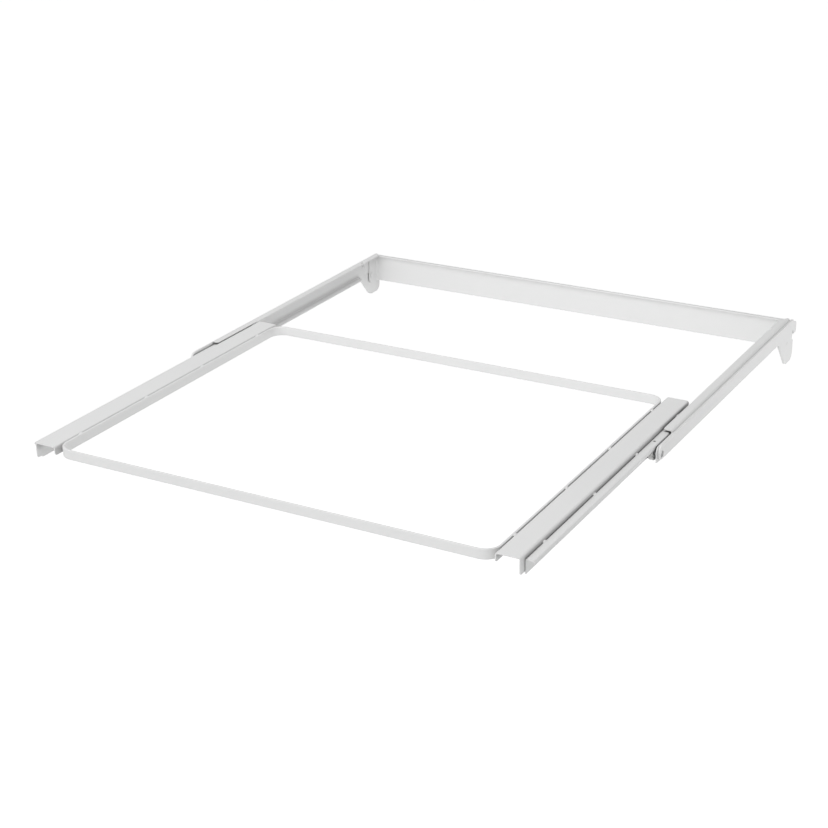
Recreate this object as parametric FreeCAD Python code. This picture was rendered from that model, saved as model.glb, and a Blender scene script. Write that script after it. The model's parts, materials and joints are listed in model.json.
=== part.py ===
import FreeCAD, Part
import math
import os

# Pull-out frame for wall uprights, drawn in the pulled-out position, in millimetres.
# X runs across the frame, Y back to the wall and Z up.
# X = 0 is the middle, Y = 0 the rear ends of the side rails and Z = 0 their top.

# Side rail: a roll-formed channel, open towards the middle of the frame
rail_span = 580.0             # over the outer faces of the two rails
rail_length = 424.0           # from its rear end to the rounded front end
rail_height = 22.4
rail_sheet = 1.2
rail_bend = 1.4               # inside radius of its bends
top_flange = 10.0             # width, from the outer face of the rail
bottom_flange = 10.8
top_flange_setback = 42.0     # end of the top flange, behind the rounded front end
bottom_flange_setback = 32.0
front_step = 3.3              # how far the front end lies below the top flange
front_top_radius = 6.5
front_bottom_radius = 7.0
flange_corner = 1.5           # cut corner at the front of the top flange
top_mitre = 9.5               # mitred rear end of the top flange
bottom_relief = 45.0          # rear end of the bottom flange, in front of that of the rail
bottom_mitre = 12.0

# Rear stop: a tab lanced from the top flange and bent down
stop_place = 45.2             # its front face, in front of the rear end of the rail
stop_width = 4.0
stop_drop = 6.5
stop_root = 5.0               # length of flange behind the tab that it bends from
stop_slot = 4.0               # slot left in front of it

# Front stop: a hump pressed up in the bottom flange
hump_radius = 4.0
hump_rise = 1.6
hump_reach_out = 10.0         # more than its length along the rail

# Bracket plate outside each rail, with a hook and a tongue for the upright
plate_sheet = 2.5
plate_top_step = 2.6          # top edge below the top of the rail
plate_bottom_step = 3.8       # bottom edge above the bottom of the rail
plate_front_step = 2.8        # front end behind the front end of the rail
plate_front_radius = 6.5
plate_small_radius = 1.5
hook_reach = 19.5             # behind the rear end of the rail
hook_top = 8.5
hook_crown = 5.5              # where its top edge starts to fall, in front of its rear edge
hook_tip = 22.5
hook_neck = 10.0              # width of the hook, front to back
hook_radius = 3.0
throat_width = 4.4            # room for the wall of the upright
throat_top = 17.5
throat_radius = 2.0
tongue_reach = 9.8            # behind the rear end of the rail
tongue_shoulder = 29.0        # where the tongue steps back into the upright
tongue_bottom = 54.5
tongue_front = 46.5           # in front of the rear end of the rail
tongue_slope = 30.0           # how far its front edge runs back on the way down
tongue_heel_radius = 9.0
tongue_toe_radius = 14.0

# Cross rail at the back, with a stiffening lip and a tab at each end
cross_height = 35.8
cross_sheet = 1.2
cross_bend = 3.0
cross_under_flange = 0.4      # its top to the underside of the top flanges
cross_bend_gap = 0.1          # its notched corners to the bends of the side rails
cross_lip = 5.5
cross_tab = 20.0
cross_tab_corner = 4.0

# Shouldered rivet that holds each tab of the cross rail to the bracket plate
rivet_shank = 3.6
rivet_shoulder = 6.4          # diameter between the tab and the plate
rivet_head = 7.0
rivet_head_height = 1.4
rivet_place = 14.5            # in front of the rear end of the rail
rivet_drop = 27.0             # below the top of the rail

# Pull-out frame
travel = 260.0
ledge_rise = 1.2              # top of the ledges and the ring above the rails
ledge_length = 410.0
ledge_sheet = 1.2
ledge_bend = 1.2
ledge_width = 25.5
ledge_web = 17.2              # height of its outer side
ledge_lip = 9.6               # height of its inner side
ledge_corner = 2.5            # rounded lower corners at its front end

# Slide member welded to the outer side of each ledge
slide_sheet = 1.2
slide_bend = 0.6
slide_front_setback = 9.0
slide_drop = 2.1              # its top under the top flange of the rail
slide_web = 15.2              # height
slide_lip = 3.2
slide_side_gap = 1.8          # its web to the edge of the top flange
slide_lip_gap = 2.0           # its lip to the web of the rail
slide_end_radius = 6.0
slide_hole = 3.2              # diameter of the hole in its top
slide_hole_place = 95.0       # in front of the rear roller
slide_hole_side = 3.0         # from the face of its web

# Ring of flat bar that a basket hangs in
ring_bar = 2.5
ring_height = 11.0
ring_corner = 17.0            # outer radius
ring_edge = 0.5
ring_gap = 0.8                # to the ledges

# Weld beads, by their distance from the middle of a ledge
weld_places = (-164.0, -52.0, 52.0, 164.0)
weld_length = 5.0
weld_radius = 1.25            # over the flats of its sides
weld_sides = 6
weld_tip = 0.5                # radius of its ends
weld_taper = 1.3              # length over which an end narrows
weld_rise = 0.35              # how far it stands above the ledges
slide_weld_shift = 7.0
slide_weld_inset = 0.3        # its axis inside the outer face of the slide member's web
slide_weld_rise = 0.55        # how far it stands above the slide member

# Rollers and their riveted axles
running_gap = 0.05            # roller bore to axle, on the radius
side_play = 0.1
roller_gap = 0.3              # roller to the face that it runs on
top_gap = 0.5                 # rear roller to the top flange
roller_width = 5.6
lip_clearance = 0.6           # front roller to the lip of the slide member
rear_roller_inset = 12.0      # its centre in front of the rear end of the ledge
rear_spacer = 2.4             # shoulder between the slide member and the rear roller
rear_spacer_radius = 3.4
journal_radius = 2.2
axle_head_radius = 3.5
axle_head = 0.7
axle_fit = 0.02               # axle to the holes in the sheets, on the radius
head_sides = 12               # a round head is drawn with this many flat sides
front_axle_setback = 9.0      # behind the front end of the rail
front_axle_drop = 12.9        # below the top of the rail
front_spacer_radius = 3.2     # shoulder between the roller and the side rail
front_shank_radius = 2.0
front_tail = 1.3              # riveted over outside the side rail, sunk in a hole of the plate
front_tail_radius = 3.2
front_tail_hole = 3.7         # radius of that hole

# Places that follow from the sizes
half_span = rail_span / 2
web_inside = half_span - rail_sheet
flange_edge = half_span - top_flange
channel_top = -rail_sheet
channel_floor = rail_sheet - rail_height
axle_height = -front_axle_drop
front_axle_y = front_axle_setback - rail_length
plate_outside = half_span + plate_sheet
plate_top = -plate_top_step
plate_bottom = plate_bottom_step - rail_height

ledge_outside = flange_edge - slide_side_gap - slide_sheet
ledge_inside = ledge_outside - ledge_width
ring_outside = ledge_inside - ring_gap
slide_top = channel_top - slide_drop
slide_outside = web_inside - slide_lip_gap
slide_face = ledge_outside + slide_sheet
lip_inside = slide_outside - slide_sheet

rear_roller_radius = (channel_top - channel_floor - roller_gap - top_gap) / 2
rear_roller_z = channel_floor + roller_gap + rear_roller_radius
stop_reach = math.sqrt(rear_roller_radius ** 2 - (rear_roller_z + stop_drop) ** 2)
rear_roller_y = -stop_place - stop_reach - roller_gap - travel
hump_reach = math.sqrt(rear_roller_radius ** 2 - (rear_roller_radius - hump_rise) ** 2)
hump_half = math.sqrt(hump_radius ** 2 - (hump_radius - hump_rise) ** 2)
hump_y = rear_roller_y - hump_reach - hump_half - roller_gap

ledge_rear = rear_roller_y + rear_roller_inset
ledge_front = ledge_rear - ledge_length
ledge_middle = (ledge_front + ledge_rear) / 2
slide_front = ledge_front + slide_front_setback
slide_flange_rear = rear_roller_y - rear_roller_radius - 1.0

front_roller_radius = slide_top - slide_sheet - roller_gap - axle_height
front_roller_x = lip_inside - lip_clearance - roller_width
rear_roller_x = slide_face + rear_spacer
cross_top = channel_top - cross_under_flange


def vector(x, y, z):
    return FreeCAD.Vector(x, y, z)


# Planes for flat outlines: each turns two numbers into a point
def across(y):
    return lambda x, z: vector(x, y, z)


def side_on(x):
    return lambda y, z: vector(x, y, z)


def from_above(z):
    return lambda x, y: vector(x, y, z)


# A closed wire through corners (u, v, radius); a radius of 0 leaves a sharp corner
def rounded_wire(corners, plane):
    count = len(corners)
    starts, ends, middles = [], [], []
    for index in range(count):
        u, v, radius = corners[index]
        before = corners[index - 1]
        after = corners[(index + 1) % count]
        back = (before[0] - u, before[1] - v)
        ahead = (after[0] - u, after[1] - v)
        back_length = math.hypot(*back)
        ahead_length = math.hypot(*ahead)
        back = (back[0] / back_length, back[1] / back_length)
        ahead = (ahead[0] / ahead_length, ahead[1] / ahead_length)
        half_angle = math.acos(max(-1.0, min(1.0, back[0] * ahead[0] + back[1] * ahead[1]))) / 2
        if radius <= 0:
            starts.append((u, v))
            ends.append((u, v))
            middles.append(None)
            continue
        reach = radius / math.tan(half_angle)
        starts.append((u + back[0] * reach, v + back[1] * reach))
        ends.append((u + ahead[0] * reach, v + ahead[1] * reach))
        halfway = (back[0] + ahead[0], back[1] + ahead[1])
        halfway_length = math.hypot(*halfway)
        inset = radius / math.sin(half_angle) - radius
        middles.append((u + halfway[0] / halfway_length * inset, v + halfway[1] / halfway_length * inset))
    edges = []
    for index in range(count):
        if middles[index]:
            arc = Part.Arc(plane(*starts[index]), plane(*middles[index]), plane(*ends[index]))
            edges.append(arc.toShape())
        follower = starts[(index + 1) % count]
        if math.dist(ends[index], follower) > 1e-6:
            edges.append(Part.LineSegment(plane(*ends[index]), plane(*follower)).toShape())
    return Part.Wire(edges)


# Corners of a bent sheet whose one side follows path, with its thickness to the right of it
def sheet_corners(path, thickness, bend):
    normals = []
    for start, end in zip(path, path[1:]):
        length = math.dist(start, end)
        normals.append(((end[1] - start[1]) / length, (start[0] - end[0]) / length))
    near, far = [], []
    last = len(path) - 1
    for index, (u, v) in enumerate(path):
        before = normals[max(index - 1, 0)]
        after = normals[min(index, last - 1)]
        share = thickness / (1 + before[0] * after[0] + before[1] * after[1])
        turn = before[0] * after[1] - before[1] * after[0]
        near_radius, far_radius = 0, 0
        if turn < 0:
            near_radius, far_radius = bend + thickness, bend
        if turn > 0:
            near_radius, far_radius = bend, bend + thickness
        near.append((u, v, near_radius))
        far.append((u + (before[0] + after[0]) * share, v + (before[1] + after[1]) * share, far_radius))
    return near + far[::-1]


def prism(corners, plane, along):
    return Part.Face(rounded_wire(corners, plane)).extrude(along)


def block(x_range, y_range, z_range):
    low = vector(x_range[0], y_range[0], z_range[0])
    return Part.makeBox(x_range[1] - x_range[0], y_range[1] - y_range[0], z_range[1] - z_range[0], low)


# A solid turned about an axle line along X, from (x, radius) pairs
def turned(profile, y, z):
    points = [vector(x, y, z + radius) for x, radius in profile]
    face = Part.Face(Part.makePolygon(points + points[:1]))
    return face.revolve(vector(0, y, z), vector(1, 0, 0), 360)


# A round bar or hole along X
def cross_hole(radius, x_range, y, z):
    return Part.makeCylinder(radius, x_range[1] - x_range[0], vector(x_range[0], y, z), vector(1, 0, 0))


# The head of a rivet or an axle
def head(x_range, radius, y, z):
    turns = [count * 2 * math.pi / head_sides for count in range(head_sides)]
    points = [vector(x_range[0], y + radius * math.cos(turn), z + radius * math.sin(turn)) for turn in turns]
    return Part.Face(Part.makePolygon(points + points[:1])).extrude(vector(x_range[1] - x_range[0], 0, 0))


def mirrored(shape):
    return shape.mirror(vector(0, 0, 0), vector(1, 0, 0))


# Bent sheet, then the side outline, the plan of both flanges, the lanced stop and the hump
def outer_rail():
    path = [(flange_edge, 0), (half_span, 0), (half_span, -rail_height),
            (half_span - bottom_flange, -rail_height)]
    section = sheet_corners(path, rail_sheet, rail_bend)
    rail = prism(section, across(-rail_length), vector(0, rail_length, 0))
    front, flange_front = -rail_length, top_flange_setback - rail_length
    side = [(front, -front_step, front_top_radius), (flange_front, -front_step, 1.0), (flange_front, 0, 0),
            (0, 0, 0), (0, -rail_height, 0), (front, -rail_height, front_bottom_radius)]
    inner, outer = flange_edge - 5, half_span + 5
    rail = rail.common(prism(side, side_on(inner), vector(outer - inner, 0, 0)))
    bend_line = web_inside - rail_bend
    upper_plan = [(flange_edge + flange_corner, front - 1, 0), (flange_edge + flange_corner, flange_front, 0),
                  (flange_edge, flange_front + flange_corner, 0), (flange_edge, -top_mitre, 0),
                  (bend_line, 0, 0), (outer, 0, 0), (outer, front - 1, 0)]
    lower_front = bottom_flange_setback - rail_length
    lower_plan = [(bend_line, front - 1, 0), (bend_line, lower_front, 0), (inner, lower_front, 0),
                  (inner, -bottom_relief - bottom_mitre, 0), (web_inside, -bottom_relief, 0),
                  (web_inside, 1, 0), (outer, 1, 0), (outer, front - 1, 0)]
    middle = -rail_height / 2
    upper = prism(upper_plan, from_above(middle), vector(0, 0, rail_height))
    lower = prism(lower_plan, from_above(middle - rail_height), vector(0, 0, rail_height))
    rail = rail.common(upper.fuse(lower))
    slot = block((inner, flange_edge + stop_width),
                 (-stop_place - stop_slot, -stop_place + rail_sheet + rail_bend), (-rail_sheet - 1, 1))
    tab_path = [(-stop_place, -stop_drop), (-stop_place, 0), (stop_root - stop_place, 0)]
    tab_outline = sheet_corners(tab_path, rail_sheet, rail_bend)
    tab = prism(tab_outline, side_on(flange_edge), vector(stop_width, 0, 0))
    hump_height = channel_floor + hump_rise - hump_radius
    hump = cross_hole(hump_radius, (half_span - bottom_flange, web_inside), hump_y, hump_height)
    above = block((inner, half_span), (hump_y - hump_reach_out, hump_y + hump_reach_out),
                  (channel_floor - rail_sheet / 2, 0))
    rail = rail.cut(slot).fuse([tab, hump.common(above)])
    rail = rail.cut(cross_hole(front_shank_radius + axle_fit, (inner, outer), front_axle_y, axle_height))
    return rail.removeSplitter()


def bracket_plate():
    front = plate_front_step - rail_length
    throat_back = hook_reach - hook_neck
    throat_front = throat_back - throat_width
    corners = [
        (front, plate_top, plate_front_radius), (throat_front, plate_top, 0), (hook_reach - hook_crown, -hook_top, 0),
        (hook_reach, -hook_top, hook_radius), (hook_reach, -hook_tip, hook_radius),
        (throat_back, -hook_tip, 0), (throat_back, -throat_top, throat_radius),
        (throat_front, -throat_top, throat_radius),
        (throat_front, -tongue_shoulder, 0), (tongue_reach, -tongue_shoulder, plate_small_radius),
        (tongue_reach, -tongue_bottom, tongue_heel_radius),
        (tongue_slope - tongue_front, -tongue_bottom, tongue_toe_radius),
        (-tongue_front, plate_bottom, plate_small_radius), (front, plate_bottom, plate_front_radius)]
    plate = prism(corners, side_on(half_span), vector(plate_sheet, 0, 0))
    through = (half_span - 1, plate_outside + 1)
    plate = plate.cut(cross_hole(front_tail_hole, through, front_axle_y, axle_height))
    return plate.cut(cross_rail_rivet(axle_fit))


def back_cross_rail():
    low = cross_top - cross_height
    path = [(-web_inside, -cross_tab), (-web_inside, 0), (web_inside, 0), (web_inside, -cross_tab)]
    rail = prism(sheet_corners(path, cross_sheet, cross_bend), from_above(low), vector(0, 0, cross_height))
    reach = web_inside - cross_sheet - cross_bend
    lip = sheet_corners([(-cross_lip, cross_top), (0, cross_top), (0, low)], cross_sheet, cross_sheet / 2)
    rail = rail.fuse(prism(lip, side_on(-reach), vector(2 * reach, 0, 0)))
    corner = cross_tab_corner
    wedge = [(-cross_tab - 1, low - 1, 0), (corner - cross_tab, low - 1, 0), (corner - cross_tab, low, 0),
             (-cross_tab, low + corner, 0), (-cross_tab - 1, low + corner, 0)]
    rail = rail.cut(prism(wedge, side_on(-half_span), vector(rail_span, 0, 0)))
    notch_side = web_inside - rail_bend - cross_bend_gap
    notch_floor = channel_top - rail_bend - cross_bend_gap
    for notch in ((-half_span, -notch_side), (notch_side, half_span)):
        rail = rail.cut(block(notch, (-cross_tab - 1, 1), (notch_floor, 0)))
    hole = cross_hole(rivet_shank / 2 + axle_fit, (-half_span, half_span), -rivet_place, -rivet_drop)
    return rail.cut(hole).removeSplitter()


# Round head inside the tab, shoulder in front of the plate, tail flush with its outer face
def cross_rail_rivet(fit):
    seat = web_inside - cross_sheet
    shank = rivet_shank / 2 + fit
    shoulder = rivet_shoulder / 2
    profile = [
        (seat, 0), (seat, shank), (web_inside, shank), (web_inside, shoulder), (half_span, shoulder),
        (half_span, shank), (plate_outside, shank), (plate_outside, 0)]
    inner_head = head((seat - rivet_head_height, seat), rivet_head / 2, -rivet_place, -rivet_drop)
    return turned(profile, -rivet_place, -rivet_drop).fuse(inner_head)


# Rivet through the rail, with a thin head inside the roller and a tail sunk in the hole of the plate
def front_axle():
    inner_end = front_roller_x - side_play
    outer_end = front_roller_x + roller_width + side_play
    profile = [
        (inner_end, 0), (inner_end, journal_radius), (outer_end, journal_radius),
        (outer_end, front_spacer_radius), (web_inside, front_spacer_radius),
        (web_inside, front_shank_radius), (half_span, front_shank_radius), (half_span, 0)]
    inner_head = head((inner_end - axle_head, inner_end), axle_head_radius, front_axle_y, axle_height)
    tail = head((half_span, half_span + front_tail), front_tail_radius, front_axle_y, axle_height)
    return turned(profile, front_axle_y, axle_height).fuse([inner_head, tail])


# Rivet through the webs of the ledge and the slide, with a shoulder and a head for the roller
def rear_axle():
    inner_seat = ledge_outside - ledge_sheet
    outer_end = rear_roller_x + roller_width + side_play
    profile = [
        (inner_seat, 0), (inner_seat, journal_radius), (slide_face, journal_radius),
        (slide_face, rear_spacer_radius), (rear_roller_x - side_play, rear_spacer_radius),
        (rear_roller_x - side_play, journal_radius), (outer_end, journal_radius), (outer_end, 0)]
    inner_head = head((inner_seat - axle_head, inner_seat), axle_head_radius, rear_roller_y, rear_roller_z)
    outer_head = head((outer_end, outer_end + axle_head), axle_head_radius, rear_roller_y, rear_roller_z)
    return turned(profile, rear_roller_y, rear_roller_z).fuse([inner_head, outer_head])


def roller(x, y, z, radius):
    bore = journal_radius + running_gap
    outside = x + roller_width
    return turned([(x, bore), (x, radius), (outside, radius), (outside, bore)], y, z)


def ledge():
    path = [(ledge_inside, ledge_rise - ledge_lip), (ledge_inside, ledge_rise),
            (ledge_outside, ledge_rise), (ledge_outside, ledge_rise - ledge_web)]
    section = sheet_corners(path, ledge_sheet, ledge_bend)
    shape = prism(section, across(ledge_front), vector(0, ledge_length, 0))
    halfway = (ledge_inside + ledge_outside) / 2
    for side, depth in (((ledge_inside, halfway), ledge_lip), ((halfway, ledge_outside), ledge_web)):
        low = ledge_rise - depth
        outline = [(ledge_front, ledge_rise, 0), (ledge_rear, ledge_rise, 0),
                   (ledge_rear, low, 0), (ledge_front, low, ledge_corner)]
        around = block(side, (ledge_front, ledge_rear), (low, ledge_rise))
        shape = shape.cut(around.cut(prism(outline, side_on(side[0]), vector(side[1] - side[0], 0, 0))))
    return shape.cut(cross_hole(journal_radius + axle_fit, (ledge_outside - 5, ledge_outside + 1),
                                rear_roller_y, rear_roller_z))


def slide_member():
    rear = rear_roller_y + slide_end_radius
    low = slide_top - slide_web
    path = [(ledge_outside, low), (ledge_outside, slide_top),
            (slide_outside, slide_top), (slide_outside, slide_top - slide_lip)]
    section = sheet_corners(path, slide_sheet, slide_bend)
    shape = prism(section, across(slide_front), vector(0, rear - slide_front, 0))
    bend_line = slide_top - slide_sheet - slide_bend
    side = [(slide_front, slide_top, 0), (slide_flange_rear, slide_top, 0), (slide_flange_rear, bend_line, 0),
            (rear, bend_line, slide_end_radius), (rear, low, slide_end_radius), (slide_front, low, 0)]
    shape = shape.common(prism(side, side_on(ledge_outside), vector(slide_outside - ledge_outside, 0, 0)))
    shape = shape.cut(block((slide_face, slide_outside + 1), (slide_flange_rear, rear + 1), (low, slide_top)))
    shape = shape.cut(cross_hole(journal_radius + axle_fit, (ledge_outside - 1, slide_face + 1),
                                 rear_roller_y, rear_roller_z))
    hole_place = vector(slide_face + slide_hole_side, rear_roller_y - slide_hole_place, slide_top - 3)
    hole = Part.makeCylinder(slide_hole / 2, 4, hole_place)
    return shape.cut(hole)


def ring_frame():
    rear = ledge_rear
    front = ledge_front
    outline = [(ring_outside, rear, ring_corner), (ring_outside, front, ring_corner),
               (-ring_outside, front, ring_corner), (-ring_outside, rear, ring_corner)]
    inside = ring_outside - ring_bar
    inner_corner = ring_corner - ring_bar
    hole = [(inside, rear - ring_bar, inner_corner), (inside, front + ring_bar, inner_corner),
            (-inside, front + ring_bar, inner_corner), (-inside, rear - ring_bar, inner_corner)]
    down = vector(0, 0, -ring_height)
    ring = prism(outline, from_above(ledge_rise), down).cut(prism(hole, from_above(ledge_rise), down))
    level = [edge for edge in ring.Edges if abs(edge.BoundBox.ZLength) < 1e-6]
    return ring.makeChamfer(ring_edge, level)


# A many-sided bead along Y with tapered ends, in the corner that its neighbours leave
def weld_bead(x, y, z, neighbours):
    reach = weld_length / 2 + weld_taper
    rings = []
    for along, size in ((-reach, weld_tip), (weld_taper - reach, weld_radius),
                        (reach - weld_taper, weld_radius), (reach, weld_tip)):
        corner = size / math.cos(math.pi / weld_sides)
        turns = [count * 2 * math.pi / weld_sides for count in range(weld_sides)]
        rings.append([vector(x + corner * math.cos(turn), y + along, z + corner * math.sin(turn))
                      for turn in turns])
    outlines = [rings[0], rings[-1]]
    for near, far in zip(rings, rings[1:]):
        outlines += [[near[side - 1], near[side], far[side], far[side - 1]] for side in range(weld_sides)]
    bead = Part.Solid(Part.Shell([Part.Face(Part.makePolygon(points + points[:1])) for points in outlines]))
    for neighbour in neighbours:
        bead = bead.cut(neighbour)
    return max(bead.Solids, key=lambda solid: solid.Volume)


def ring_welds(neighbours):
    x = ledge_inside
    z = ledge_rise + weld_rise - weld_radius
    return Part.Compound([weld_bead(x, ledge_middle + place, z, neighbours) for place in weld_places])


def slide_welds(neighbours):
    x = slide_face - slide_weld_inset
    z = slide_top + slide_weld_rise - weld_radius
    places = [ledge_middle + slide_weld_shift + place for place in weld_places]
    reach = [place for place in places if place + weld_length < slide_flange_rear]
    return Part.Compound([weld_bead(x, place, z, neighbours) for place in reach])


def main():
    os.makedirs("parts", exist_ok=True)
    ring = ring_frame()
    one_ledge = ledge()
    one_slide = slide_member()
    right_side = {
        "outer_rail": outer_rail(),
        "bracket_plate": bracket_plate(),
        "cross_rail_rivet": cross_rail_rivet(0),
        "front_axle": front_axle(),
        "front_roller": roller(front_roller_x, front_axle_y, axle_height, front_roller_radius),
        "ledge": one_ledge,
        "slide_member": one_slide,
        "ring_welds": ring_welds([ring, one_ledge]),
        "slide_welds": slide_welds([one_ledge, one_slide]),
        "rear_axle": rear_axle(),
        "rear_roller": roller(rear_roller_x, rear_roller_y, rear_roller_z, rear_roller_radius),
    }
    nodes = {"ring_frame": ring, "back_cross_rail": back_cross_rail()}
    for name, shape in right_side.items():
        nodes["right_" + name] = shape
        nodes["left_" + name] = mirrored(shape)
    for name, shape in nodes.items():
        shape.exportStep("parts/" + name + ".step")
        box = shape.BoundBox
        print(name, "solids", len(shape.Solids), "valid", shape.isValid(), "volume", round(shape.Volume, 1),
              "x", round(box.XMin, 2), round(box.XMax, 2), "y", round(box.YMin, 2), round(box.YMax, 2),
              "z", round(box.ZMin, 2), round(box.ZMax, 2))


main()
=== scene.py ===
import json
import math

import bmesh
import bpy
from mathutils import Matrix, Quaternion, Vector


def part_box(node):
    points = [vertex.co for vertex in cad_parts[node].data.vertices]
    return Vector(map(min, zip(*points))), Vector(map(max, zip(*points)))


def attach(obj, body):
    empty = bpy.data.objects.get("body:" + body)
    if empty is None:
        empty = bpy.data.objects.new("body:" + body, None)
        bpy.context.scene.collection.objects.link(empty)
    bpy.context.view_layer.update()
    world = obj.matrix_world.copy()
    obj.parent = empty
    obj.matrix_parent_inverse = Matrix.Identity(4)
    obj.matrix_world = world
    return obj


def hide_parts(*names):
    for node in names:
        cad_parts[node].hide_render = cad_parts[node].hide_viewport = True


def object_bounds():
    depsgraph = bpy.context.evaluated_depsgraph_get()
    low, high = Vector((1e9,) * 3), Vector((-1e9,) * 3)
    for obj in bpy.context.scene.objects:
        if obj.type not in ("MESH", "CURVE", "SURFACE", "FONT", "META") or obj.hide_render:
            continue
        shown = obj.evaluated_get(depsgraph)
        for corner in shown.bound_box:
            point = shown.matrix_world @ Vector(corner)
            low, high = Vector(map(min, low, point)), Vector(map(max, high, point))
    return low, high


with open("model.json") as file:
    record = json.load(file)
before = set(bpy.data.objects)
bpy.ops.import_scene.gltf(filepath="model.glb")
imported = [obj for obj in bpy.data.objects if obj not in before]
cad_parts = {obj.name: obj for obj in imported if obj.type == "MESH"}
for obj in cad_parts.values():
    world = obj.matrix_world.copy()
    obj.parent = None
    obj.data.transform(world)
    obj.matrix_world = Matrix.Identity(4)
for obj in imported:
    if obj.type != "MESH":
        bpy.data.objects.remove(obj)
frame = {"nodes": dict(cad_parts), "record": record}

cadLow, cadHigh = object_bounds()
sides = (("right", 1), ("left", -1))
mm = 0.001
mergeReach = 1e-7


# a new shader group with its sockets, given as {name: (kind, value)}
def startGroup(name, inputs, outputs):
    group = bpy.data.node_groups.new(name, "ShaderNodeTree")
    for label, (kind, value) in inputs.items():
        socket = group.interface.new_socket(name=label, in_out="INPUT", socket_type=kind)
        socket.default_value = value
    for label, kind in outputs.items():
        group.interface.new_socket(name=label, in_out="OUTPUT", socket_type=kind)
    return group


def addNode(tree, kind, place, values=None, **settings):
    node = tree.nodes.new(kind)
    node.location = place
    for key, value in settings.items():
        setattr(node, key, value)
    for socket, value in (values or {}).items():
        node.inputs[socket].default_value = value
    return node


# fine orange peel of a sprayed and baked powder, with slow drifts in its tone
def makeCoatGrain():
    group = startGroup("coatGrain",
                       {"Peel Size": ("NodeSocketFloat", 0.0012), "Drift Size": ("NodeSocketFloat", 0.09)},
                       {"Peel": "NodeSocketFloat", "Drift": "NodeSocketFloat", "Specks": "NodeSocketFloat"})
    ends = addNode(group, "NodeGroupInput", (-800, 0))
    coords = addNode(group, "ShaderNodeTexCoord", (-800, 200))
    peelRate = addNode(group, "ShaderNodeMath", (-600, 0), {0: 1.0}, operation="DIVIDE")
    driftRate = addNode(group, "ShaderNodeMath", (-600, -180), {0: 1.0}, operation="DIVIDE")
    peel = addNode(group, "ShaderNodeTexNoise", (-400, 100), {"Detail": 2.0, "Roughness": 0.4})
    drift = addNode(group, "ShaderNodeTexNoise", (-400, -120), {"Detail": 3.0, "Roughness": 0.55})
    specks = addNode(group, "ShaderNodeTexVoronoi", (-400, -360), {"Scale": 260.0})
    dots = addNode(group, "ShaderNodeMapRange", (-200, -360), {"From Min": 0.10, "From Max": 0.04})
    out = addNode(group, "NodeGroupOutput", (0, 0))
    links = group.links
    links.new(ends.outputs["Peel Size"], peelRate.inputs[1])
    links.new(ends.outputs["Drift Size"], driftRate.inputs[1])
    for texture in (peel, drift, specks):
        links.new(coords.outputs["Object"], texture.inputs["Vector"])
    links.new(peelRate.outputs[0], peel.inputs["Scale"])
    links.new(driftRate.outputs[0], drift.inputs["Scale"])
    links.new(specks.outputs["Distance"], dots.inputs["Value"])
    links.new(peel.outputs["Fac"], out.inputs["Peel"])
    links.new(drift.outputs["Fac"], out.inputs["Drift"])
    links.new(dots.outputs["Result"], out.inputs["Specks"])
    return group


# 1 along the edges of a sheet and 0 on its flats, with the normal that a rounded edge has; the mask
# lightens the edges, partly as wear and partly as a painted highlight
def makeEdgeWearAndHighlight():
    group = startGroup("edgeWearAndHighlight",
                       {"Patch Size": ("NodeSocketFloat", 0.012)},
                       {"Edge": "NodeSocketFloat", "Round": "NodeSocketVector"})
    ends = addNode(group, "NodeGroupInput", (-900, -200))
    coords = addNode(group, "ShaderNodeTexCoord", (-900, -400))
    shape = addNode(group, "ShaderNodeNewGeometry", (-900, 200))
    soft = addNode(group, "ShaderNodeBevel", (-900, 0), {"Radius": 0.0004}, samples=6)
    compare = addNode(group, "ShaderNodeVectorMath", (-700, 100), operation="DOT_PRODUCT")
    bend = addNode(group, "ShaderNodeMapRange", (-500, 100), {"From Min": 0.995, "From Max": 0.80})
    rate = addNode(group, "ShaderNodeMath", (-700, -250), {0: 1.0}, operation="DIVIDE")
    patch = addNode(group, "ShaderNodeTexNoise", (-500, -250), {"Detail": 4.0})
    uneven = addNode(group, "ShaderNodeMapRange", (-300, -250),
                     {"From Min": 0.35, "From Max": 0.62, "To Min": 0.45})
    edge = addNode(group, "ShaderNodeMath", (-150, 50), operation="MULTIPLY")
    out = addNode(group, "NodeGroupOutput", (50, 0))
    links = group.links
    links.new(shape.outputs["True Normal"], compare.inputs[0])
    links.new(soft.outputs["Normal"], compare.inputs[1])
    links.new(compare.outputs["Value"], bend.inputs["Value"])
    links.new(ends.outputs["Patch Size"], rate.inputs[1])
    links.new(rate.outputs[0], patch.inputs["Scale"])
    links.new(coords.outputs["Object"], patch.inputs["Vector"])
    links.new(patch.outputs["Fac"], uneven.inputs["Value"])
    links.new(bend.outputs["Result"], edge.inputs[0])
    links.new(uneven.outputs["Result"], edge.inputs[1])
    links.new(edge.outputs[0], out.inputs["Edge"])
    links.new(soft.outputs["Normal"], out.inputs["Round"])
    return group


coatGrain = makeCoatGrain()
edgeWearAndHighlight = makeEdgeWearAndHighlight()


# two tones mixed by a mask
def mixTones(tree, place, mask, first, second):
    mix = addNode(tree, "ShaderNodeMix", place, data_type="RGBA")
    for socket, tone in ((6, first), (7, second)):
        if isinstance(tone, tuple):
            mix.inputs[socket].default_value = tone
        else:
            tree.links.new(tone, mix.inputs[socket])
    tree.links.new(mask, mix.inputs[0])
    return mix.outputs[2]


def startMaterial(name, values):
    material = bpy.data.materials.new(name)
    material.use_nodes = True
    tree = material.node_tree
    shader = tree.nodes["Principled BSDF"]
    for socket, value in values.items():
        shader.inputs[socket].default_value = value
    return material, tree, shader
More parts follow.
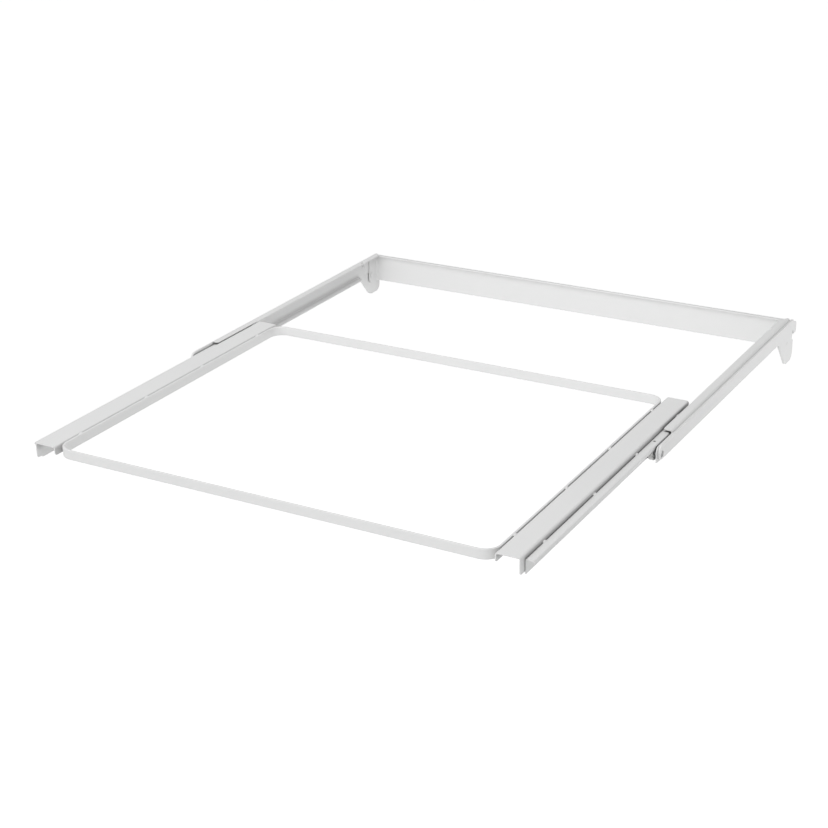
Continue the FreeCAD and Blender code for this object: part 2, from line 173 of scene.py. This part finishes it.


# painted shade: a darker tone painted into a sheltered corner, and from how far and how much a neighbour
# shelters it; on the weld beads the tone is lighter, a painted highlight
paintedShades = {
    "whiteCoat": {"tone": (0.75, 0.75, 0.745, 1), "reach": 0.006, "open": 0.95, "deep": 0.45},
    "railShadedCoat": {"tone": (0.61, 0.61, 0.61, 1), "reach": 0.007, "open": 0.98, "deep": 0.62},
    "ledgeShadedCoat": {"tone": (0.55, 0.55, 0.55, 1), "reach": 0.010, "open": 0.99, "deep": 0.78},
    "slideShadedCoat": {"tone": (0.14, 0.14, 0.14, 1), "reach": 0.004, "open": 0.66, "deep": 0.44},
    "beadPaintedLightCoat": {"tone": (0.86, 0.86, 0.855, 1), "reach": 0.006, "open": 0.95, "deep": 0.45},
    "rollerGrey": {"tone": (0.10, 0.10, 0.10, 1), "reach": 0.003, "open": 0.80, "deep": 0.50},
}


# paints shade into the base colour: mixes in the painted shade tone by how much the neighbours shelter the
# place
def paintShadeInShelter(tree, base, shadeSpec):
    shelter = addNode(tree, "ShaderNodeAmbientOcclusion", (-600, 480),
                      {"Distance": shadeSpec["reach"]}, samples=8)
    shadeMask = addNode(tree, "ShaderNodeMapRange", (-400, 480),
                    {"From Min": shadeSpec["open"], "From Max": shadeSpec["deep"]})
    tree.links.new(shelter.outputs["AO"], shadeMask.inputs["Value"])
    return mixTones(tree, (0, 300), shadeMask.outputs["Result"], base, shadeSpec["tone"])


# rings that turning leaves along an axle
def turnedRings(tree, scale):
    coords = addNode(tree, "ShaderNodeTexCoord", (-1100, -450))
    rings = addNode(tree, "ShaderNodeTexWave", (-900, -450),
                    {"Scale": scale, "Distortion": 0.6, "Detail": 1.0},
                    wave_type="BANDS", bands_direction="X")
    tree.links.new(coords.outputs["Object"], rings.inputs["Vector"])
    return rings.outputs["Fac"]


# what all finishes share: a drifting tone, edges lightened partly as wear and partly as a painted
# highlight, uneven gloss and a fine relief; finishes with a painted shade entry also get painted shade
# where sheltered
def makeFinish(name, look):
    material, tree, shader = startMaterial(name, look["shader"])
    grain = addNode(tree, "ShaderNodeGroup", (-900, 100), look["grain"], node_tree=coatGrain)
    edges = addNode(tree, "ShaderNodeGroup", (-900, -200), {"Patch Size": look["patch"]}, node_tree=edgeWearAndHighlight)
    tone = mixTones(tree, (-600, 200), grain.outputs["Drift"], look["tone"], look["second"])
    if "speck" in look:
        tone = mixTones(tree, (-400, 200), grain.outputs["Specks"], tone, look["speck"])
    # wear and painted highlight: the edge tone lightens the edges
    tone = mixTones(tree, (-200, 200), edges.outputs["Edge"], tone, look["edge"])
    # painted shade where neighbours shelter the place, and on the weld beads a painted highlight
    if name in paintedShades:
        tone = paintShadeInShelter(tree, tone, paintedShades[name])
    first, last = look["rough"]
    rough = addNode(tree, "ShaderNodeMapRange", (-400, 0), {"To Min": first, "To Max": last})
    bump = addNode(tree, "ShaderNodeBump", (-300, -250), look["relief"])
    height = turnedRings(tree, look["rings"]) if "rings" in look else grain.outputs["Peel"]
    links = tree.links
    links.new(tone, shader.inputs["Base Color"])
    links.new(grain.outputs["Drift"], rough.inputs["Value"])
    links.new(rough.outputs["Result"], shader.inputs["Roughness"])
    links.new(height, bump.inputs["Height"])
    links.new(edges.outputs["Round"], bump.inputs["Normal"])
    links.new(bump.outputs["Normal"], shader.inputs["Normal"])
    return material


# sprayed white coat of all the sheet metal
whiteCoat = {
    "shader": {"Specular IOR Level": 0.4},
    "grain": {"Peel Size": 0.0011, "Drift Size": 0.08}, "patch": 0.02,
    "tone": (0.79, 0.79, 0.785, 1), "second": (0.765, 0.768, 0.77, 1),
    # the edge tone lightens the edges, partly as wear and partly as a painted highlight
    "speck": (0.70, 0.70, 0.695, 1), "edge": (0.86, 0.86, 0.855, 1),
    "rough": (0.40, 0.50), "relief": {"Strength": 0.5, "Distance": 0.000025},
}

# moulded plastic of the rollers, lighter along its edges, partly where it is rubbed and partly as a painted
# highlight
rollerGrey = {
    "shader": {"Specular IOR Level": 0.5},
    "grain": {"Peel Size": 0.0006, "Drift Size": 0.004}, "patch": 0.003,
    "tone": (0.52, 0.52, 0.515, 1), "second": (0.60, 0.60, 0.59, 1), "edge": (0.66, 0.66, 0.65, 1),
    "rough": (0.55, 0.38), "relief": {"Strength": 0.5, "Distance": 0.00002},
}

# zinc plate over the turned steel of the axles
rivetZinc = {
    "shader": {"Metallic": 0.85, "Specular IOR Level": 0.5},
    "grain": {"Drift Size": 0.0018}, "patch": 0.002, "rings": 700.0,
    # the edge tone lightens the rims, partly as wear and partly as a painted highlight
    "tone": (0.50, 0.51, 0.52, 1), "second": (0.36, 0.365, 0.37, 1), "edge": (0.68, 0.68, 0.68, 1),
    "rough": (0.28, 0.46), "relief": {"Strength": 0.4, "Distance": 0.00002},
}

finishes = {
    "white_coating": makeFinish("whiteCoat", whiteCoat),
    "roller_plastic": makeFinish("rollerGrey", rollerGrey),
    "axle_steel": makeFinish("rivetZinc", rivetZinc),
}
# the weld beads' copy of the white coat, painted lighter where sheltered: a painted highlight
beadPaintedLightCoat = makeFinish("beadPaintedLightCoat", whiteCoat)
# copies of the white coat for the bent sheets, with deeper painted shade in their folds and holes
shadedBentSheets = {
    "ledge": makeFinish("ledgeShadedCoat", whiteCoat),
    "outer_rail": makeFinish("railShadedCoat", whiteCoat),
    "slide_member": makeFinish("slideShadedCoat", whiteCoat),
}
print("finishes made:", ", ".join(material.name for material in finishes.values()))


# the sheet metal keeps its solids and only gets its finish; ledges, outer rails and slide members get the
# copies with deeper painted shade
def dressNodes():
    for part in frame["record"]["subparts"]:
        kind = part["node"].partition("_")[2]
        mesh = frame["nodes"][part["node"]].data
        mesh.materials.clear()
        mesh.materials.append(shadedBentSheets.get(kind, finishes[part["material_slot"]]))


dressNodes()
print("nodes dressed:", len(frame["nodes"]))


# a mesh made into a piece that stands for a node and moves with a body
def finishPiece(bm, name, slot, node, body, finish=None):
    bmesh.ops.remove_doubles(bm, verts=bm.verts, dist=mergeReach)
    bmesh.ops.recalc_face_normals(bm, faces=bm.faces)
    mesh = bpy.data.meshes.new(name)
    bm.to_mesh(mesh)
    bm.free()
    mesh.shade_smooth()
    mesh.materials.append(finish or finishes[slot])
    piece = bpy.data.objects.new(name, mesh)
    bpy.context.scene.collection.objects.link(piece)
    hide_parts(node)
    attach(piece, body)
    return piece


# a node's middle, and how far out from the frame's middle it starts and ends, in millimetres
def nodePlace(node):
    low, high = (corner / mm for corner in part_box(node))
    near, far = sorted((abs(low.x), abs(high.x)))
    return (low + high) / 2, near, far


# a line through (x, radius) points, in millimetres, spun about an axle along X
def spinSection(section, sign, middle, steps):
    y, z = middle.yz
    bm = bmesh.new()
    corners = [bm.verts.new((sign * x * mm, y * mm, (z + radius) * mm)) for x, radius in section]
    lines = [bm.edges.new(pair) for pair in zip(corners, corners[1:])]
    bmesh.ops.spin(bm, geom=corners + lines, cent=(0, y * mm, z * mm), axis=(1, 0, 0),
                   angle=2 * math.pi, steps=steps, use_merge=True)
    bmesh.ops.remove_doubles(bm, verts=bm.verts, dist=mergeReach)
    bmesh.ops.recalc_face_normals(bm, faces=bm.faces)
    return bm


# angles between two faces, in radians, above which their edge is sharp, or square
sharpAngle = 0.6
squareAngle = 1.0


def sharpEdges(bm):
    return [edge for edge in bm.edges if edge.calc_face_angle(0) > sharpAngle]


def roundEdges(bm, edges, offset, segments, clamp=False):
    bmesh.ops.bevel(bm, geom=edges, offset=offset * mm, segments=segments, profile=0.5,
                    affect="EDGES", material=-1, clamp_overlap=clamp)


# moulded rollers, in millimetres: radii, and how deep the near and the far side are recessed
rollers = {
    "front": {"radius": 8.1, "bore": 2.25, "hub": 3.7, "rim": 6.4, "recess": (0.5, 0.8)},
    "rear": {"radius": 9.6, "bore": 2.25, "hub": 3.6, "rim": 7.4, "recess": (0.6, 0.9)},
}
rollerShape = {"steps": 72, "slope": 0.2, "slack": 0.05,
               "corner": 0.8, "cornerSegments": 4, "edge": 0.08, "edgeSegments": 2}


# the two round edges where the tread meets the sides
def treadEdges(bm, middle, radius):
    y, z = middle.yz
    found = []
    for edge in bm.edges:
        reach = min(math.hypot(v.co.y - y * mm, v.co.z - z * mm) for v in edge.verts)
        if edge.calc_face_angle(0) > squareAngle and reach > (radius - rollerShape["slack"]) * mm:
            found.append(edge)
    return found


# half section spun about the axle, then its corners rounded
def makeRoller(side, sign, end):
    name = side + "_" + end + "_roller"
    middle, near, far = nodePlace(name)
    size = rollers[end]
    nearDip, farDip = size["recess"]
    hub, rim = size["hub"], size["rim"]
    slope = rollerShape["slope"]
    section = [
        (near, size["bore"]), (near, hub), (near + nearDip, hub + slope), (near + nearDip, rim - slope),
        (near, rim), (near, size["radius"]), (far, size["radius"]), (far, rim),
        (far - farDip, rim - slope), (far - farDip, hub + slope), (far, hub), (far, size["bore"]),
        (near, size["bore"]),
    ]
    bm = spinSection(section, sign, middle, rollerShape["steps"])
    tread = treadEdges(bm, middle, size["radius"])
    roundEdges(bm, tread, rollerShape["corner"], rollerShape["cornerSegments"])
    roundEdges(bm, sharpEdges(bm), rollerShape["edge"], rollerShape["edgeSegments"])
    return finishPiece(bm, side + end.capitalize() + "Roller", "roller_plastic", name, name)


for side, sign in sides:
    for end in rollers:
        makeRoller(side, sign, end)
print("rollers made:", 2 * len(rollers))


# riveted pins, in millimetres: where each step starts, outwards from the inner end, and its radius
pins = {
    "front_axle": {
        "body": "wall_frame", "slot": "axle_steel", "dome": 0.3,
        "steps": ((0, 3.5), (0.7, 2.2), (6.5, 3.2), (10.2, 2.0), (11.4, 3.2), (12.7, 0)),
    },
    "rear_axle": {
        "body": "pull_out_frame", "slot": "axle_steel", "dome": 0.3,
        "steps": ((0, 3.5), (0.7, 2.2), (3.1, 3.4), (5.4, 2.2), (11.2, 3.5), (11.9, 0)),
    },
    "cross_rail_rivet": {
        "body": "wall_frame", "slot": "white_coating", "dome": 0.6,
        "steps": ((0, 3.5), (1.4, 1.8), (2.6, 3.2), (3.8, 1.8), (6.3, 0)),
    },
}
pinShape = {"steps": 48, "rimSegments": 4}


# steps and heads turned about the pin's own line, then every rim rounded
def makePin(side, sign, kind):
    name = side + "_" + kind
    middle, near, _ = nodePlace(name)
    size = pins[kind]
    steps = [(near + start, radius) for start, radius in size["steps"]]
    section = [(near, 0)]
    for (start, radius), (end, _) in zip(steps, steps[1:]):
        section += [(start, radius), (end, radius)]
    section.append((steps[-1][0], 0))
    bm = spinSection(section, sign, middle, pinShape["steps"])
    roundEdges(bm, sharpEdges(bm), size["dome"], pinShape["rimSegments"], clamp=True)
    return finishPiece(bm, side + kind.title().replace("_", ""), size["slot"], name, size["body"])


for side, sign in sides:
    for kind in pins:
        makePin(side, sign, kind)
print("pins made:", 2 * len(pins))


# rows of short weld beads, in millimetres: each bead is a run of overlapping puddles
weldRows = {
    "ring_welds": {"x": 251.5, "z": 0.3, "radius": 1.25},
    "slide_welds": {"x": 277.8, "z": -3.7, "radius": 1.7},
}
bead = {"along": (-164, -52, 52, 164), "length": 6.4, "puddles": 6, "squeeze": 0.62, "taper": 0.45,
        "around": 20, "over": 12, "voxel": 0.16}


def makeWelds(side, sign, node):
    middle, _, _ = nodePlace(side + "_" + node)
    row = weldRows[node]
    run = bead["length"] - 2 * row["radius"] * bead["squeeze"]
    bm = bmesh.new()
    for place in bead["along"]:
        for count in range(bead["puddles"]):
            share = count / (bead["puddles"] - 1) - 0.5
            radius = row["radius"] * (1 - bead["taper"] * abs(2 * share) ** 3)
            made = bmesh.ops.create_uvsphere(bm, u_segments=bead["around"], v_segments=bead["over"],
                                             radius=radius * mm)["verts"]
            bmesh.ops.scale(bm, verts=made, vec=(1, bead["squeeze"], 1))
            y = middle.y + place + share * run
            bmesh.ops.translate(bm, verts=made, vec=(sign * row["x"] * mm, y * mm, row["z"] * mm))
    name = side + node.title().replace("_", "")
    # the beads take the coat with a painted highlight where sheltered
    piece = finishPiece(bm, name, "white_coating", side + "_" + node, "pull_out_frame", beadPaintedLightCoat)
    skin = piece.modifiers.new("skin", "REMESH")
    skin.mode = "VOXEL"
    skin.voxel_size = bead["voxel"] * mm
    skin.use_smooth_shade = True
    return piece


for side, sign in sides:
    for node in weldRows:
        makeWelds(side, sign, node)
print("weld beads made:", 2 * len(weldRows) * len(bead["along"]))


# pale floor well under the frame, which hangs from its uprights
floorSpec = {"drop": 0.42, "reach": 12.0, "tone": (0.88, 0.88, 0.88, 1), "lift": 0.46}


def makeFloor():
    bm = bmesh.new()
    bmesh.ops.create_grid(bm, x_segments=1, y_segments=1, size=floorSpec["reach"])
    bmesh.ops.translate(bm, verts=bm.verts, vec=(0, 0, cadLow.z - floorSpec["drop"]))
    mesh = bpy.data.meshes.new("floor")
    bm.to_mesh(mesh)
    bm.free()
    floor = bpy.data.objects.new("floor", mesh)
    bpy.context.scene.collection.objects.link(floor)
    material, tree, shader = startMaterial("floorPaper", {
        "Base Color": floorSpec["tone"], "Roughness": 0.9, "Specular IOR Level": 0.1,
        "Emission Color": (1, 1, 1, 1),
    })
    rays = addNode(tree, "ShaderNodeLightPath", (-700, 0))
    seen = addNode(tree, "ShaderNodeMath", (-500, 0), operation="ADD", use_clamp=True)
    lift = addNode(tree, "ShaderNodeMath", (-300, 0), {1: floorSpec["lift"]}, operation="MULTIPLY")
    tree.links.new(rays.outputs["Is Camera Ray"], seen.inputs[0])
    tree.links.new(rays.outputs["Is Glossy Ray"], seen.inputs[1])
    tree.links.new(seen.outputs[0], lift.inputs[0])
    tree.links.new(lift.outputs[0], shader.inputs["Emission Strength"])
    mesh.materials.append(material)


# soft studio light: an even room, wide fills, and panels near the frame, in metres and watts
roomLight = {"tone": (1, 1, 1, 1), "strength": 0.52}
fills = {
    "frontFill": {"from": (-0.15, -1.0, 0.20), "strength": 1.13, "spread": 60},
    "leftFill": {"from": (-0.55, -0.60, 1.0), "strength": 0.08, "spread": 70},
}
panels = {
    "topPanel": {"place": (0, -0.90, 1.0), "aim": (0, -0.55, 0), "size": (1.0, 0.6), "power": 4.0},
    "rearPanel": {"place": (0.10, -0.12, 0.30), "aim": (-0.29, -0.05, 0),
                  "size": (0.3, 0.3), "power": 0.18},
    "rightPanel": {"place": (0.80, 0.40, -0.20), "aim": (0.29, -0.10, 0),
                   "size": (0.5, 0.4), "power": 1.3},
    "lowPanel": {"place": (0, -0.40, -0.40), "aim": (0, -0.40, 0), "size": (1.6, 1.4), "power": 1.0},
}


# the room lights the frame, and the camera, mirrors and glass see plain white behind it
def makeRoom():
    world = bpy.data.worlds.new("room")
    bpy.context.scene.world = world
    world.use_nodes = True
    tree = world.node_tree
    room = tree.nodes["Background"]
    room.inputs["Color"].default_value = roomLight["tone"]
    room.inputs["Strength"].default_value = roomLight["strength"]
    backdrop = addNode(tree, "ShaderNodeBackground", (-100, -200), {"Color": (1, 1, 1, 1), "Strength": 1.0})
    rays = addNode(tree, "ShaderNodeLightPath", (-500, 200))
    mirror = addNode(tree, "ShaderNodeMath", (-300, 200), operation="ADD", use_clamp=True)
    through = addNode(tree, "ShaderNodeMath", (-100, 200), operation="ADD", use_clamp=True)
    mix = addNode(tree, "ShaderNodeMixShader", (150, 0))
    links = tree.links
    links.new(rays.outputs["Is Camera Ray"], mirror.inputs[0])
    links.new(rays.outputs["Is Glossy Ray"], mirror.inputs[1])
    links.new(mirror.outputs[0], through.inputs[0])
    links.new(rays.outputs["Is Transmission Ray"], through.inputs[1])
    links.new(through.outputs[0], mix.inputs[0])
    links.new(room.outputs[0], mix.inputs[1])
    links.new(backdrop.outputs[0], mix.inputs[2])
    links.new(mix.outputs[0], tree.nodes["World Output"].inputs["Surface"])


def addLamp(name, kind, direction):
    lamp = bpy.data.lights.new(name, kind)
    holder = bpy.data.objects.new(name, lamp)
    holder.rotation_euler = Vector(direction).to_track_quat("Z", "Y").to_euler()
    bpy.context.scene.collection.objects.link(holder)
    return lamp, holder


def makeLamps():
    for name, fill in fills.items():
        lamp, _ = addLamp(name, "SUN", fill["from"])
        lamp.energy = fill["strength"]
        lamp.angle = math.radians(fill["spread"])
    for name, panel in panels.items():
        place = Vector(panel["place"])
        lamp, holder = addLamp(name, "AREA", place - Vector(panel["aim"]))
        holder.location = place
        holder.visible_camera = False
        lamp.shape = "RECTANGLE"
        lamp.size, lamp.size_y = panel["size"]
        lamp.energy = panel["power"]


makeFloor()
makeRoom()
makeLamps()
print("floor and light made")


# where the photographer stood, in metres, and how far the camera was turned about its own line
cameraSpec = {
    "place": (0.8802, -1.9594, 0.7256), "aim": (0.0195, -0.4452, -0.0100), "roll": -0.935,
    "lens": 76.47, "sensor": 36.0, "reach": 60.0,
}


def makeCamera():
    lens = bpy.data.cameras.new("camera")
    lens.lens = cameraSpec["lens"]
    lens.sensor_width = cameraSpec["sensor"]
    lens.clip_end = cameraSpec["reach"]
    camera = bpy.data.objects.new("camera", lens)
    place = Vector(cameraSpec["place"])
    look = (Vector(cameraSpec["aim"]) - place).to_track_quat("-Z", "Y")
    turn = Quaternion((0, 0, 1), math.radians(cameraSpec["roll"]))
    camera.location = place
    camera.rotation_euler = (look @ turn).to_euler()
    bpy.context.scene.collection.objects.link(camera)
    bpy.context.scene.camera = camera
    bpy.context.scene.view_settings.view_transform = "Standard"


makeCamera()
print("camera placed")
